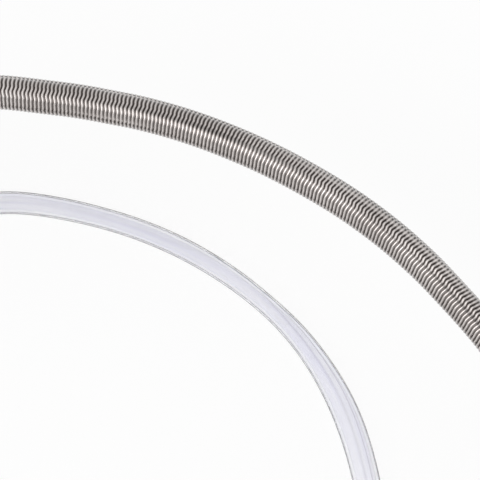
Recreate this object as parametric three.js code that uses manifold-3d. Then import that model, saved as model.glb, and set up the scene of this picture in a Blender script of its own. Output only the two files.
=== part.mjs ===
// Immersion wort chiller: a close-ribbed stainless tube wound into a standing coil,
// clamped between four pairs of strips, with two risers that turn out over the rim of
// the kettle, and a clear hose on one of them that ends in a tap connector.
// Millimetres, +Z up. The origin is on the axis of the coil, at the floor of the kettle.
// Angles round the coil are clock angles: 0 is +Y and they grow clockwise from above.
import * as THREE from 'three';
import { mergeVertices } from 'three/addons/utils/BufferGeometryUtils.js';
import Module from 'manifold-3d';

const wasm = await Module();
wasm.setup();

// ---- Driving sizes ---------------------------------------------------------
const CLEARANCE = 0.3; // between pieces that touch on the real object

const tube = { diameter: 10, bore: 6.2, ribPitch: 1.2, ribDepth: 0.42, bendRadius: 35 };
const coil = { radius: 185.8, pitch: 16, footHeight: 12, startAngle: 135, endAngle: 2130 };
const ramp = { inset: 0.8, slope: 15, easeAngle: 26, endAngle: 98, ribStart: 27.5, ribs: 150 };
// The bottom turn runs in to the inlet riser; its rings are at these shares of the lead.
const lead = { angle: 22, inset: 15, rings: [0.35, 0.5, 0.65, 0.8, 0.9, 1] };
const riser = { portHeight: 415, portReach: 50 };

const strip = { thickness: 2, width: 12, overTop: 4, stations: [60, 150, 240, 330] };
const screw = {
  diameter: 4, headDiameter: 7.6, headTop: 5.3, headHeight: 2.4, tip: 1.2, hole: 4.6,
};
const nut = { acrossFlats: 7, height: 3.2 };
const clampBlock = {
  height: 20, depth: 9, overhang: 14, gap: 1.2, centreHeight: 340, screwInset: 20,
};

const port = {
  ringSetBack: 2.6, ringWidth: 1.4, ringDiameter: 15, ringGap: 1.6,
  gasketThickness: 2, gasketDiameter: 15.4, gasketBore: 6.4,
  threadDiameter: 16.6, threadLength: 9, neckDiameter: 15, collarFlats: 19,
  collarLength: 5, collarGap: 2.9, nutFlats: 21, nutShoulder: 2.6, nutPastThread: 0.7,
  waterBore: 2.6,
};
const hose = { diameter: 7, socket: 5.4, stopGap: 0.4 };
const barb = { core: 4, crest: 4.8, length: 22, ridges: [0.4, 0.66, 0.92] };
const hoseClamp = { band: 0.6, width: 7, setBack: 6, boxLength: 10, boxHeight: 5.6, boxLift: 0.2 };
const clampScrew = {
  diameter: 3.8, headDiameter: 6, headLength: 2.4, boreDiameter: 4.4,
  slotWidth: 1, slotDepth: 0.9,
};

const pile = { x: 20, y: -112, meanRadius: 38, turns: 2.25, startAngle: 90, step: 7.6 };
const tie = { thickness: 1, width: 8, slack: 0.8, lift: 0.1, angles: [20, 290] };

const tap = {
  x: -62, y: -126, lift: 15.3, collarDiameter: 13, collarLength: 3.2, neckDiameter: 10,
  neckLength: 5.2, flangeDiameter: 23.4, flangeLength: 2.8, wallThickness: 4,
  nutFlats: 30, nutLength: 17.4, threadDiameter: 24.2, washerThickness: 2.5, washerBore: 14,
};

// The free hose from the inlet barb: out over the rim, back between the risers on to
// the clamp block, down across the middle of the coil and clockwise round its floor.
const hoseRoute = [
  [240.8, -34.52, 415], [262, -34.52, 415], [284, -33.5, 412.5], [304, -27.5, 401],
  [313, -19, 383], [304, -9.5, 362], [280, -3.8, 353], [246, -0.8, 351.5],
  [211, 0.7, 353], [178, 0.9, 354], [147, 0, 350.8], [116, -2.2, 338],
  [90, -4.6, 317], [68, -7, 287], [50, -9, 252], [35, -10.4, 214],
  [21, -11.7, 173], [7, -13, 131], [-8, -14, 90], [-26, -14.5, 52],
  [-50, -12, 21], [-76, -1, 6.5], [-95, 20, 3.6], [-101, 50, 3.6],
  [-92.2, 86, 3.6], [-68.7, 121.7, 3.6], [-33, 145.2, 3.6], [1.8, 154.2, 3.6],
  [31.1, 149.9, 3.6], [58.6, 139.2, 3.6], [82.6, 122, 3.6], [100.6, 98.8, 3.6],
  [108.8, 78.2, 3.6], [113, 50, 3.6], [110.6, 18, 3.6], [101, -16, 3.6],
  [84, -50, 3.6], [67.4, -80, 4.2], [62.5, -97, 4.9], [62.3, -111.85, 4.9],
];
// From the top of the pile of turns to the collar of the tap connector.
const tailRoute = [
  [19.7, -154.3, 12.5], [13, -154.3, 12.5], [-1.5, -150.5, 12.7], [-12.5, -140.2, 13.6],
  [-23.5, -129.8, 14.8], [-38, -126, 15.3], [-50, -126, 15.3], [-61.5, -126, 15.3],
];

// ---- Helpers ---------------------------------------------------------------
const radians = THREE.MathUtils.degToRad;
const vec = (x, y, z) => new THREE.Vector3(x, y, z);
const UP = vec(0, 0, 1);

const finishes = {
  stainless: [0xc9c6c0, 0.32, 0.9],
  nickel: [0xb9b7b2, 0.25, 0.95],
  brass: [0xc8a45a, 0.3, 0.9],
  clearHose: [0xdedde6, 0.2, 0.0],
  nylon: [0x2b2b2d, 0.6, 0.0],
  rubber: [0x1d1d1e, 0.85, 0.0],
  strap: [0x26272b, 0.9, 0.0],
};

function named(name, geometry, finish) {
  const [color, roughness, metalness] = finishes[finish];
  const material = new THREE.MeshStandardMaterial({ color, roughness, metalness });
  const mesh = new THREE.Mesh(geometry, material);
  mesh.name = name;
  return mesh;
}

function solidOf(geometry) {
  const bare = new THREE.BufferGeometry();
  bare.setAttribute('position', geometry.getAttribute('position'));
  if (geometry.index) bare.setIndex(geometry.index);
  const merged = mergeVertices(bare, 1e-4);
  return new wasm.Manifold(new wasm.Mesh({
    numProp: 3,
    vertProperties: merged.attributes.position.array,
    triVerts: new Uint32Array(merged.index.array),
  }));
}

function geometryOf(solid) {
  const mesh = solid.getMesh();
  const geometry = new THREE.BufferGeometry();
  geometry.setAttribute('position', new THREE.BufferAttribute(mesh.vertProperties, 3));
  geometry.setIndex(new THREE.BufferAttribute(mesh.triVerts, 1));
  return geometry;
}

function cut(body, ...tools) {
  const solid = tools.reduce((left, tool) => left.subtract(solidOf(tool)), solidOf(body));
  return geometryOf(solid);
}

const joined = (first, second) => geometryOf(solidOf(first).add(solidOf(second)));

// A round rod along +Y between two distances.
function rod(diameter, from, to, sides = 12) {
  const shape = new THREE.CylinderGeometry(diameter / 2, diameter / 2, to - from, sides);
  return shape.translate(0, (from + to) / 2, 0);
}

// A hexagonal bar along +Y with flats at top and bottom.
function hexBar(acrossFlats, from, to) {
  const shape = new THREE.CylinderGeometry(
    acrossFlats / Math.sqrt(3), acrossFlats / Math.sqrt(3), to - from, 6);
  return shape.rotateY(radians(30)).translate(0, (from + to) / 2, 0);
}

// A turned piece with its axis along +Y, from points of diameter and distance that
// start and end on the axis or go round a ring.
function turned(profile, sides = 12) {
  const points = profile.map(([diameter, y]) => new THREE.Vector2(diameter / 2, y));
  if (points[0].x > 0) points.push(points[0].clone());
  return new THREE.LatheGeometry(points, sides);
}

// A box with its middle at x and z, between two distances along Y.
const slab = (width, from, to, height, x = 0, z = 0) =>
  new THREE.BoxGeometry(width, to - from, height).translate(x, (from + to) / 2, z);

// ---- Tubes through a row of stations ---------------------------------------
// A station is a point on the centreline, the direction there and the outer diameter;
// bored stations also carry a ring of the bore.
const station = (point, direction, diameter = tube.diameter, bored = true) =>
  ({ point, direction: direction.clone().normalize(), diameter, bored });

function ringsOf(stations, radiusOf, sides, level) {
  let side = vec(0, 0, 0).crossVectors(stations[0].direction, UP);
  return stations.map(({ point, direction, ...rest }) => {
    if (level) side = vec(0, 0, 0).crossVectors(direction, UP).normalize();
    side = side.clone().addScaledVector(direction, -side.dot(direction)).normalize();
    const third = vec(0, 0, 0).crossVectors(direction, side);
    const radius = radiusOf(rest);
    return Array.from({ length: sides }, (_, i) => {
      const angle = (2 * Math.PI * (i + 0.5)) / sides;
      return point.clone()
        .addScaledVector(side, radius * Math.cos(angle))
        .addScaledVector(third, radius * Math.sin(angle));
    });
  });
}

// A level tube keeps a side of its section facing outwards all the way round.
function tubeThrough(stations, sides, { bore = 0, level = false } = {}) {
  const positions = [];
  const index = [];
  const place = (rings) => rings.map((ring) => ring.map((p) => {
    positions.push(p.x, p.y, p.z);
    return positions.length / 3 - 1;
  }));
  const quad = (a, b, c, d) => index.push(a, b, c, a, c, d);
  const wall = (rings, outward) => {
    for (let k = 0; k + 1 < rings.length; k++) {
      for (let i = 0; i < sides; i++) {
        const j = (i + 1) % sides;
        const [a, b, c, d] = [rings[k][i], rings[k][j], rings[k + 1][j], rings[k + 1][i]];
        if (outward) quad(a, b, c, d);
        else quad(d, c, b, a);
      }
    }
  };
  const outer = place(ringsOf(stations, ({ diameter }) => diameter / 2, sides, level));
  wall(outer, true);
  const last = outer.length - 1;
  if (bore) {
    const all = ringsOf(stations, () => bore / 2, sides, level);
    const inner = place(all.filter((_, k) => stations[k].bored));
    wall(inner, false);
    for (let i = 0; i < sides; i++) {
      const j = (i + 1) % sides;
      quad(inner[0][i], inner[0][j], outer[0][j], outer[0][i]);
      quad(outer[last][i], outer[last][j], inner.at(-1)[j], inner.at(-1)[i]);
    }
  } else {
    for (let i = 1; i + 1 < sides; i++) {
      index.push(outer[0][0], outer[0][i + 1], outer[0][i]);
      index.push(outer[last][0], outer[last][i], outer[last][i + 1]);
    }
  }
  const geometry = new THREE.BufferGeometry();
  geometry.setAttribute('position', new THREE.Float32BufferAttribute(positions, 3));
  geometry.setIndex(index);
  return geometry;
}

// The least gap of a wound tube to itself, from points on its centreline.
function leastGap(points, diameter, apart) {
  let least = Infinity;
  points.forEach((p, i) => {
    for (let k = i + apart; k < points.length; k++) least = Math.min(least, p.distanceTo(points[k]));
  });
  return least - diameter;
}

// ---- The line of the coil, the ramp and the risers -------------------------
const STEP = 15; // degrees between rings, 24 to a turn
const climb = coil.pitch / (2 * Math.PI * coil.radius);
const rampClimb = Math.tan(radians(ramp.slope));
const rampRadius = coil.radius - ramp.inset;
const easeSpan = radians(ramp.easeAngle);
const smooth = (t) => t * t * (3 - 2 * t);

const around = (angle, radius, z) =>
  vec(radius * Math.sin(radians(angle)), radius * Math.cos(radians(angle)), z);
const clockwise = (angle, slope) =>
  vec(Math.cos(radians(angle)), -Math.sin(radians(angle)), slope).normalize();

const coilHeight = (angle) =>
  coil.footHeight + (coil.pitch * (angle - coil.startAngle)) / 360;
const coilPoint = (angle) => around(angle, coil.radius, coilHeight(angle));

function rampPoint(turnedBy) {
  const x = radians(turnedBy);
  const eased = Math.min(x, easeSpan);
  const rise = climb * eased + ((rampClimb - climb) * eased * eased) / (2 * easeSpan)
    + rampClimb * (x - eased);
  const inset = ramp.inset * smooth(eased / easeSpan);
  const z = coilHeight(coil.endAngle) + rampRadius * rise;
  return around(coil.endAngle + turnedBy, coil.radius - inset, z);
}
function rampDirection(turnedBy) {
  const share = Math.min(radians(turnedBy) / easeSpan, 1);
  return clockwise(coil.endAngle + turnedBy, climb + (rampClimb - climb) * share);
}

// The tube runs straight for one diameter on each side of a joint between two nodes.
const straightAngle = THREE.MathUtils.radToDeg(tube.diameter / coil.radius);
const jointHalf = CLEARANCE / 2;

function coilTube() {
  const { startAngle, endAngle } = coil;
  const first = clockwise(startAngle, climb);
  const last = clockwise(endAngle, climb);
  const stations = [
    station(coilPoint(startAngle).addScaledVector(first, jointHalf), first),
    station(coilPoint(startAngle).addScaledVector(first, tube.diameter), first),
  ];
  for (let angle = startAngle + STEP; angle < endAngle; angle += STEP) {
    stations.push(station(coilPoint(angle), clockwise(angle, climb)));
  }
  stations.push(station(coilPoint(endAngle).addScaledVector(last, -tube.diameter), last));
  stations.push(station(coilPoint(endAngle).addScaledVector(last, -jointHalf), last));
  const gap = leastGap(stations.map(({ point }) => point), tube.diameter, 8);
  console.log(`coil_tube: least gap to itself ${gap.toFixed(2)} mm`);
  return tubeThrough(stations, 6, { level: true });
}

function outletRamp() {
  const start = rampDirection(0);
  const end = rampDirection(ramp.endAngle);
  const crest = tube.diameter;
  const valley = tube.diameter - 2 * tube.ribDepth;
  const stations = [
    station(rampPoint(0).addScaledVector(start, jointHalf), start),
    station(rampPoint(0).addScaledVector(start, tube.diameter), start),
  ];
  for (let at = STEP / 2; at < ramp.ribStart - 1; at += STEP / 2) {
    stations.push(station(rampPoint(at), rampDirection(at)));
  }
  const ribAngle = THREE.MathUtils.radToDeg(
    (tube.ribPitch * Math.cos(radians(ramp.slope))) / rampRadius);
  stations.push(station(rampPoint(ramp.ribStart), rampDirection(ramp.ribStart)));
  for (let rib = 0; rib < ramp.ribs; rib++) {
    const at = ramp.ribStart + (rib + 0.5) * ribAngle;
    const top = at + ribAngle / 2;
    stations.push(station(rampPoint(at), rampDirection(at), valley, rib % 5 === 2));
    stations.push(station(rampPoint(top), rampDirection(top), crest, false));
  }
  const ribEnd = ramp.ribStart + ramp.ribs * ribAngle;
  const lastCurved = ramp.endAngle - straightAngle - 1;
  for (let at = ribEnd + STEP / 4; at < lastCurved; at += STEP / 2) {
    stations.push(station(rampPoint(at), rampDirection(at)));
  }
  stations.push(station(rampPoint(ramp.endAngle).addScaledVector(end, -tube.diameter), end));
  stations.push(station(rampPoint(ramp.endAngle).addScaledVector(end, -jointHalf), end));
  return tubeThrough(stations, 8, { bore: tube.bore, level: true });
}

// An arc of the bend radius in the plane of two directions, as stations.
function bend(from, fromDirection, toDirection, steps) {
  const normal = vec(0, 0, 0).crossVectors(fromDirection, toDirection).normalize();
  const whole = fromDirection.angleTo(toDirection);
  const inward = vec(0, 0, 0).crossVectors(normal, fromDirection);
  const centre = from.clone().addScaledVector(inward, tube.bendRadius);
  return Array.from({ length: steps }, (_, i) => {
    const angle = (whole * (i + 1)) / steps;
    const arm = inward.clone().multiplyScalar(-tube.bendRadius).applyAxisAngle(normal, angle);
    const direction = fromDirection.clone().applyAxisAngle(normal, angle);
    return station(centre.clone().add(arm), direction);
  });
}

const OUT = vec(1, 0, 0);

// From a bend's last station up to the port: straight, bent outwards, straight again.
function upAndOut(stations) {
  const foot = stations.at(-1).point;
  const turnHeight = riser.portHeight - tube.bendRadius;
  const head = vec(foot.x, foot.y, turnHeight);
  stations.push(station(head, UP));
  stations.push(...bend(head, UP, OUT, 6));
  const end = vec(foot.x + riser.portReach, foot.y, riser.portHeight);
  stations.push(station(end, OUT));
  return { stations, foot, end };
}

function outletLine() {
  const direction = rampDirection(ramp.endAngle);
  const joint = rampPoint(ramp.endAngle);
  const straight = joint.clone().addScaledVector(direction, tube.diameter);
  return upAndOut([
    station(joint.clone().addScaledVector(direction, jointHalf), direction),
    station(straight, direction),
    ...bend(straight, direction, UP, 5),
  ]);
}

function inletLine() {
  const back = clockwise(coil.startAngle, climb).negate();
  const joint = coilPoint(coil.startAngle);
  const stations = [
    station(joint.clone().addScaledVector(back, jointHalf), back),
    station(joint.clone().addScaledVector(back, tube.diameter), back),
  ];
  const foot = joint.z - climb * tube.diameter;
  const leadPoint = (share) => {
    const inset = lead.inset * smooth(share);
    return around(coil.startAngle - lead.angle * share, coil.radius - inset, foot);
  };
  for (const share of lead.rings) {
    const ahead = leadPoint(share + 0.01).sub(leadPoint(share - 0.01));
    stations.push(station(leadPoint(share), ahead));
  }
  const { point, direction } = stations.at(-1);
  stations.push(...bend(point, direction, UP, 6));
  return upAndOut(stations);
}

const inlet = inletLine();
const outlet = outletLine();

// ---- Strips, screws and nuts at the four stations --------------------------
const stripInner = coil.radius - tube.diameter / 2 - CLEARANCE - strip.thickness;
const stripOuter = coil.radius + tube.diameter / 2 + CLEARANCE;

function turnHeights(angle) {
  const heights = [];
  for (let at = angle; at <= coil.endAngle; at += 360) {
    if (at >= coil.startAngle) heights.push(coilHeight(at));
  }
  return heights;
}

// A pan-head screw along +Y whose head seats on a face at `seat` and passes to `end`.
function panScrew(seat, end) {
  const under = seat - CLEARANCE;
  const top = under - screw.headHeight;
  return turned([
    [0, top], [screw.headTop, top],
    [screw.headDiameter, top + screw.headHeight / 2], [screw.headDiameter, under],
    [screw.diameter, under], [screw.diameter, end], [0, end],
  ], 12);
}
function hexNut(seat) {
  const bore = screw.diameter + 2 * CLEARANCE;
  const from = seat + CLEARANCE;
  const to = from + nut.height;
  return cut(hexBar(nut.acrossFlats, from, to), rod(bore, from - 1, to + 1));
}

function stripStation(angle, number) {
  const group = new THREE.Group();
  group.rotation.z = -radians(angle);
  const turns = turnHeights(angle);
  const height = turns.at(-1) + tube.diameter / 2 + strip.overTop;
  const screwHeights = [
    (turns[0] + turns[1]) / 2,
    (turns.at(-1) + turns.at(-2)) / 2,
  ];
  const holes = screwHeights.map((z) =>
    rod(screw.hole, stripInner - 1, stripOuter + strip.thickness + 1).translate(0, 0, z));
  const bar = (from) => slab(strip.width, from, from + strip.thickness, height, 0, height / 2);
  group.add(named(`inner_strip_${number}`, cut(bar(stripInner), ...holes), 'stainless'));
  group.add(named(`outer_strip_${number}`, cut(bar(stripOuter), ...holes), 'stainless'));
  screwHeights.forEach((z, i) => {
    const level = i === 0 ? 'low' : 'high';
    const outerFace = stripOuter + strip.thickness;
    const tip = stripInner - CLEARANCE - nut.height - screw.tip;
    // The head is outside, against the outer strip, and the nut inside.
    const pan = named(`strip_screw_${number}_${level}`, panScrew(-outerFace, -tip), 'stainless');
    pan.rotation.z = Math.PI;
    pan.position.z = z;
    const hex = named(`strip_nut_${number}_${level}`, hexNut(-stripInner), 'stainless');
    hex.rotation.z = Math.PI;
    hex.position.z = z;
    group.add(pan, hex);
  });
  return group;
}

// ---- The block that holds the two risers apart -----------------------------
function riserClamp() {
  const group = new THREE.Group();
  const a = inlet.foot;
  const b = outlet.foot;
  const length = Math.hypot(b.x - a.x, b.y - a.y);
  // Local X runs from the inlet riser to the outlet riser, local Y points out.
  group.position.set((a.x + b.x) / 2, (a.y + b.y) / 2, clampBlock.centreHeight);
  group.rotation.z = Math.atan2(b.y - a.y, b.x - a.x);
  const grooveDiameter = tube.diameter + 2 * CLEARANCE;
  const halfGap = clampBlock.gap / 2;
  const face = halfGap + clampBlock.depth;
  const groove = (x) =>
    rod(grooveDiameter, -clampBlock.height, clampBlock.height).rotateX(Math.PI / 2).translate(x, 0, 0);
  const grooves = [groove(-length / 2), groove(length / 2)];
  const screwAt = length / 2 - clampBlock.screwInset;
  const holes = [-screwAt, screwAt].map((x) => rod(screw.hole, -face - 1, face + 1).translate(x, 0, 0));
  const width = length + 2 * clampBlock.overhang;
  const outerBlock = slab(width, halfGap, face, clampBlock.height);
  const innerBlock = slab(width, -face, -halfGap, clampBlock.height);
  group.add(named('riser_clamp_outer_half', cut(outerBlock, ...grooves, ...holes), 'nylon'));
  group.add(named('riser_clamp_inner_half', cut(innerBlock, ...grooves, ...holes), 'nylon'));
  [-screwAt, screwAt].forEach((x, i) => {
    const end = face + CLEARANCE + nut.height + screw.tip;
    const pan = named(`riser_clamp_screw_${i + 1}`, panScrew(-face, end), 'stainless');
    const hex = named(`riser_clamp_nut_${i + 1}`, hexNut(face), 'stainless');
    for (const mesh of [pan, hex]) {
      mesh.position.x = x;
      group.add(mesh);
    }
  });
  return group;
}

// ---- Ports: what seals the tube's end and takes the hose -------------------
// Local +Y points out of the tube, from its end face.
const gasketEnd = CLEARANCE + port.gasketThickness;
const threadStart = gasketEnd + CLEARANCE;
const threadEnd = threadStart + port.threadLength;
const collarStart = threadEnd + port.collarGap;
const collarEnd = collarStart + port.collarLength;
const barbTip = collarEnd + barb.length;
const shoulderStart = -port.ringSetBack - port.ringWidth - CLEARANCE - port.nutShoulder;
const nutEnd = threadEnd + port.nutPastThread;

function retainingRing() {
  const ring = turned([
    [tube.diameter + 2 * CLEARANCE, -port.ringSetBack - port.ringWidth],
    [port.ringDiameter, -port.ringSetBack - port.ringWidth],
    [port.ringDiameter, -port.ringSetBack],
    [tube.diameter + 2 * CLEARANCE, -port.ringSetBack],
  ], 20);
  const above = port.ringDiameter / 2 + 1;
  const gap = slab(port.ringGap, -tube.diameter, tube.diameter, port.ringDiameter, 0, above);
  return cut(ring, gap);
}

function gasket() {
  return turned([
    [port.gasketBore, CLEARANCE], [port.gasketDiameter, CLEARANCE],
    [port.gasketDiameter, gasketEnd], [port.gasketBore, gasketEnd],
  ]);
}

// Three ridges that slope to the tip, along a barb from its collar.
function barbProfile(start, toTip) {
  const at = (share) => start + toTip * barb.length * share;
  const ridges = barb.ridges.flatMap((share) => [
    [barb.core, at(share - 0.02)], [barb.crest, at(share)],
    [barb.core, at(Math.min(share + 0.1, 1))],
  ]);
  return [[barb.core, at(0)], ...ridges];
}

function hoseBarb() {
  const body = turned([
    [0, threadStart], [port.threadDiameter, threadStart], [port.threadDiameter, threadEnd],
    [port.neckDiameter, threadEnd], [port.neckDiameter, collarEnd],
    ...barbProfile(collarEnd, 1), [0, barbTip],
  ]);
  const collar = hexBar(port.collarFlats, collarStart, collarEnd);
  return cut(joined(body, collar), rod(port.waterBore, threadStart - 1, barbTip + 1));
}

function unionNut() {
  const outside = hexBar(port.nutFlats, shoulderStart, nutEnd);
  const shoulderHole = rod(tube.diameter + 2 * CLEARANCE, shoulderStart - 1, nutEnd, 20);
  const cavity = rod(port.threadDiameter + 2 * CLEARANCE,
    shoulderStart + port.nutShoulder, nutEnd + 1, 20);
  return cut(outside, shoulderHole, cavity);
}

function portGroup(which, end, withHose) {
  const group = new THREE.Group();
  group.position.copy(end);
  group.rotation.z = -Math.PI / 2;
  group.add(named(`${which}_retaining_ring`, retainingRing(), 'stainless'));
  group.add(named(`${which}_gasket`, gasket(), 'rubber'));
  group.add(named(`${which}_hose_barb`, hoseBarb(), 'nickel'));
  group.add(named(`${which}_union_nut`, unionNut(), 'nickel'));
  if (withHose) {
    group.add(clampGroup(which, collarEnd + hoseClamp.setBack + hoseClamp.width / 2));
  }
  return group;
}

// ---- Hose clamps -----------------------------------------------------------
const clampInner = hose.diameter + 2 * CLEARANCE;
const clampOuter = clampInner + 2 * hoseClamp.band;
const screwAxis = clampOuter / 2 + CLEARANCE + clampScrew.boreDiameter / 2;

function clampBand() {
  const half = hoseClamp.width / 2;
  const ring = turned([
    [clampInner, -half], [clampOuter, -half], [clampOuter, half], [clampInner, half],
  ], 20);
  const { boxLength, boxHeight } = hoseClamp;
  const middle = clampInner / 2 + hoseClamp.boxLift + boxHeight / 2;
  const box = slab(boxLength, -half, half, boxHeight, 0, middle);
  const inside = rod(clampInner, -half - 1, half + 1, 20);
  const bore = rod(clampScrew.boreDiameter, -boxLength, boxLength)
    .rotateZ(Math.PI / 2).translate(0, 0, screwAxis);
  return cut(joined(ring, cut(box, inside)), bore);
}

function wormScrew() {
  const reach = hoseClamp.boxLength / 2 + CLEARANCE;
  const top = -reach - clampScrew.headLength;
  const body = turned([
    [0, top], [clampScrew.headDiameter, top],
    [clampScrew.headDiameter, -reach], [clampScrew.diameter, -reach],
    [clampScrew.diameter, reach], [0, reach],
  ], 12);
  const { headDiameter, slotDepth, slotWidth } = clampScrew;
  const slot = slab(headDiameter + 2, top - 1, top + slotDepth, slotWidth);
  return cut(body, slot).rotateZ(Math.PI / 2).translate(0, 0, screwAxis);
}

function clampGroup(which, along) {
  const group = new THREE.Group();
  group.position.y = along;
  group.add(named(`${which}_hose_clamp`, clampBand(), 'stainless'));
  group.add(named(`${which}_hose_clamp_screw`, wormScrew(), 'stainless'));
  return group;
}

// ---- Tap connector on the far end of the hose ------------------------------
// Local +Y points from the hose to the mouth of the nut.
const neckEnd = tap.collarLength + tap.neckLength;
const flangeEnd = neckEnd + tap.flangeLength;
const wallStart = neckEnd - CLEARANCE - tap.wallThickness;

function tapTail() {
  const body = turned([
    [0, -barb.length], ...barbProfile(0, -1).reverse(),
    [tap.collarDiameter, 0], [tap.collarDiameter, tap.collarLength],
    [tap.neckDiameter, tap.collarLength], [tap.neckDiameter, neckEnd],
    [tap.flangeDiameter, neckEnd], [tap.flangeDiameter, flangeEnd], [0, flangeEnd],
  ], 16);
  return cut(body, rod(port.waterBore, -barb.length - 1, flangeEnd + 1));
}

function tapNut() {
  const outside = hexBar(tap.nutFlats, wallStart, wallStart + tap.nutLength);
  const hole = rod(tap.neckDiameter + 2 * CLEARANCE, wallStart - 1, neckEnd + 1, 20);
  const cavity = rod(tap.threadDiameter, neckEnd - CLEARANCE, wallStart + tap.nutLength + 1, 24);
  return cut(outside, hole, cavity);
}

function tapWasher() {
  const from = flangeEnd + CLEARANCE;
  return turned([
    [tap.washerBore, from], [tap.flangeDiameter, from],
    [tap.flangeDiameter, from + tap.washerThickness], [tap.washerBore, from + tap.washerThickness],
  ], 20);
}

function tapGroup() {
  const group = new THREE.Group();
  group.position.set(tap.x, tap.y, tap.lift);
  group.rotation.z = Math.PI / 2; // the mouth points to -X
  group.add(named('tap_connector_tail', tapTail(), 'brass'));
  group.add(named('tap_connector_nut', tapNut(), 'brass'));
  group.add(named('tap_connector_washer', tapWasher(), 'rubber'));
  group.add(clampGroup('tap', -hoseClamp.setBack - hoseClamp.width / 2));
  return group;
}

// ---- The clear hose --------------------------------------------------------
function circle(diameter, sides) {
  return new THREE.Shape(Array.from({ length: sides }, (_, i) => {
    const angle = (2 * Math.PI * (i + 0.5)) / sides;
    return new THREE.Vector2((diameter / 2) * Math.cos(angle), (diameter / 2) * Math.sin(angle));
  }));
}

// A free stretch of hose, with the bore where it is pushed on to a barb.
function hoseStretch(route, steps, socket) {
  const path = new THREE.CatmullRomCurve3(route.map((p) => vec(...p)), false, 'centripetal');
  const tubeShape = new THREE.ExtrudeGeometry(circle(hose.diameter, 8), { steps, extrudePath: path });
  return cut(tubeShape, socket);
}
const socketRod = () => rod(hose.socket, -hose.stopGap, barb.length + hose.stopGap);

function hoseRun() {
  const socket = socketRod().rotateZ(-Math.PI / 2)
    .translate(inlet.end.x + collarEnd, inlet.end.y, riser.portHeight);
  return hoseStretch(hoseRoute, 76, socket);
}
function hoseTail() {
  const socket = socketRod().rotateZ(-Math.PI / 2).translate(tap.x, tap.y, tap.lift);
  return hoseStretch(tailRoute, 12, socket);
}

// Two layers of turns: the lower spirals in and the upper out, with the climb in the
// half turn where the spiral turns round. `turned` counts turns from the start.
const pileFloor = tie.lift + tie.thickness + CLEARANCE + hose.diameter / 2;
function pilePoint(turns) {
  const half = pile.turns / 2;
  const radius = pile.meanRadius + pile.step * (Math.abs(turns - half) - half / 2);
  const climbed = THREE.MathUtils.clamp((turns - half) / 0.5 + 0.5, 0, 1);
  const z = pileFloor + pile.step * smooth(climbed);
  return around(pile.startAngle + 360 * turns, radius, z).add(vec(pile.x, pile.y, 0));
}
function hoseCoil() {
  const count = Math.round(pile.turns * 24);
  const stations = Array.from({ length: count + 1 }, (_, i) => {
    const turns = (pile.turns * i) / count;
    const ahead = pilePoint(turns + 0.01).sub(pilePoint(turns - 0.01));
    return station(pilePoint(turns), ahead, hose.diameter);
  });
  // Both ends run level and straight for one hose diameter.
  for (const [end, next, sign] of [[0, 1, 1], [count, count - 1, -1]]) {
    const { point } = stations[end];
    const direction = clockwise(pile.startAngle + 360 * pile.turns * (end / count), 0);
    stations[end] = station(point, direction, hose.diameter);
    stations[next] = station(
      point.clone().addScaledVector(direction, sign * hose.diameter), direction, hose.diameter);
  }
  const gap = leastGap(stations.map(({ point }) => point), hose.diameter, 6);
  console.log(`hose_coil: least gap to itself ${gap.toFixed(2)} mm`);
  return tubeThrough(stations, 6, { level: true });
}

function coilTie(angle) {
  const group = new THREE.Group();
  group.position.set(pile.x, pile.y, 0);
  group.rotation.z = -radians(angle);
  const strands = [];
  for (let turns = ((angle - pile.startAngle + 360) % 360) / 360; turns <= pile.turns; turns++) {
    strands.push(pilePoint(turns).sub(vec(pile.x, pile.y, 0)));
  }
  const radii = strands.map((p) => Math.hypot(p.x, p.y));
  const reach = hose.diameter / 2 + tie.slack;
  const [from, to] = [Math.min(...radii) - reach, Math.max(...radii) + reach];
  const bottom = tie.lift + tie.thickness;
  const top = Math.max(...strands.map((p) => p.z)) + hose.diameter / 2 + CLEARANCE;
  const hollow = slab(tie.width + 2, from, to, top - bottom, 0, (top + bottom) / 2);
  const outside = slab(tie.width, from - tie.thickness, to + tie.thickness,
    top - bottom + 2 * tie.thickness, 0, (top + bottom) / 2);
  group.add(named(`hose_tie_${tie.angles.indexOf(angle) + 1}`, cut(outside, hollow), 'strap'));
  return group;
}

// ---- Put together ----------------------------------------------------------
const chiller = new THREE.Group();
chiller.add(named('coil_tube', coilTube(), 'stainless'));
chiller.add(named('outlet_ramp', outletRamp(), 'stainless'));
chiller.add(named('inlet_riser', tubeThrough(inlet.stations, 8, { bore: tube.bore }), 'stainless'));
chiller.add(named('outlet_riser', tubeThrough(outlet.stations, 8, { bore: tube.bore }), 'stainless'));
strip.stations.forEach((angle, i) => chiller.add(stripStation(angle, i + 1)));
chiller.add(riserClamp());
chiller.add(portGroup('inlet', inlet.end, true));
chiller.add(portGroup('outlet', outlet.end, false));
chiller.add(tapGroup());
chiller.add(named('hose_run', hoseRun(), 'clearHose'));
chiller.add(named('hose_coil', hoseCoil(), 'clearHose'));
chiller.add(named('hose_tail', hoseTail(), 'clearHose'));
for (const angle of tie.angles) chiller.add(coilTie(angle));

export default chiller;
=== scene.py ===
# Immersion wort chiller: its detailed pieces, materials, camera and light. Sizes are in
# millimetres and become metres when a mesh is made, and only the lamps' are in metres.
# Clock angles, in degrees, are 0 at +Y and grow clockwise as seen from above, as the turns
# of the coil do.
import math

import bmesh
import bpy
import numpy as np
from mathutils import Matrix, Vector


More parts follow.
